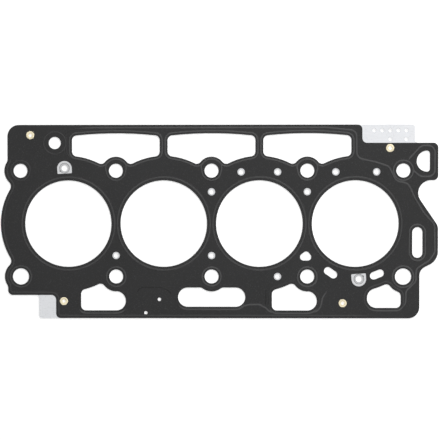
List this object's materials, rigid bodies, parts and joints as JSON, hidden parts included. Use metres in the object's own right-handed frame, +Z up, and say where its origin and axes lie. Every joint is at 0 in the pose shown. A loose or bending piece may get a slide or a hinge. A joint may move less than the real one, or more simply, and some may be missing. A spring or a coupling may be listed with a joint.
{
  "type": "cylinder head gasket",
  "caption": "Flat multi-layer steel cylinder head gasket with round cylinder openings, return windows, head bolt holes and black beaded cover sheets over a bare steel carrier.",
  "frame": {"origin": "centre of the head bolt pattern, on the plane that the gasket rests on", "axes": "+X along the cylinders, towards the end with two ears; +Y towards the return windows; +Z up, away from the block"},
  "size_m": [0.3839, 0.1701, 0.0018],
  "materials": {
    "black_coating": "matte",
    "bare_steel": "satin",
    "eyelet_brass": "satin"
  },
  "bodies": {
    "root": {"upper_bead_layer": "black_coating", "carrier_layer": "bare_steel", "lower_bead_layer": "black_coating", "eyelet_upper_left": "eyelet_brass", "eyelet_upper_right": "eyelet_brass", "eyelet_lower_left": "eyelet_brass", "eyelet_lower_right": "eyelet_brass"}
  },
  "joints": []
}
